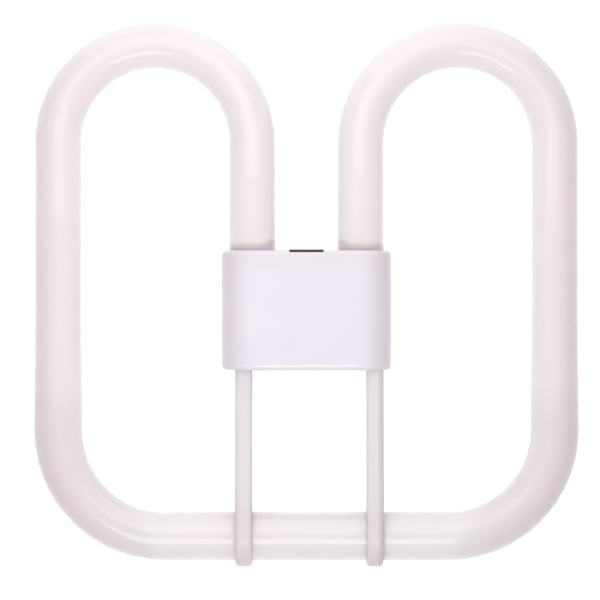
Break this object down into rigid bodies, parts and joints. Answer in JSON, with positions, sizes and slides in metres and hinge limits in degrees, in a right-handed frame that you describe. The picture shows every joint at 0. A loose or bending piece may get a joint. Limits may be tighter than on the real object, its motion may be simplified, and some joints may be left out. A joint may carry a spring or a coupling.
{
  "type": "square compact fluorescent lamp",
  "caption": "Square lamp: a white fluorescent tube bent into D-shaped loops, a central plastic cap with recessed contact pins, and slim arms that brace the far run of the tube.",
  "frame": {"origin": "centre of the rear collar's rim, on the axis of the contact pin pattern", "axes": "+Z out of the cap's front face, +Y from the far run of the tube to its loops, +X to the right seen from the front"},
  "size_m": [0.2082, 0.2081, 0.033],
  "materials": {
    "coated_glass": "smooth clear glass over a white inner coating, opaque",
    "cap_plastic": "satin moulded plastic",
    "arm_plastic": "satin moulded plastic, a little greyer",
    "board_brown": "hard paper board",
    "silicone": "cured silicone",
    "pin_metal": "bright brass",
    "wire_metal": "drawn nickel wire"
  },
  "bodies": {
    "root": {"discharge_tube": "coated_glass", "front_cover": "cap_plastic", "rear_cover": "cap_plastic", "insulating_board": "board_brown", "left_support_arm": "arm_plastic", "right_support_arm": "arm_plastic", "left_arm_adhesive": "silicone", "right_arm_adhesive": "silicone", "left_tube_seat": "silicone", "right_tube_seat": "silicone", "contact_pin_1": "pin_metal", "contact_pin_2": "pin_metal", "contact_pin_3": "pin_metal", "contact_pin_4": "pin_metal", "lead_wire_1": "wire_metal", "lead_wire_2": "wire_metal", "lead_wire_3": "wire_metal", "lead_wire_4": "wire_metal"}
  },
  "joints": []
}
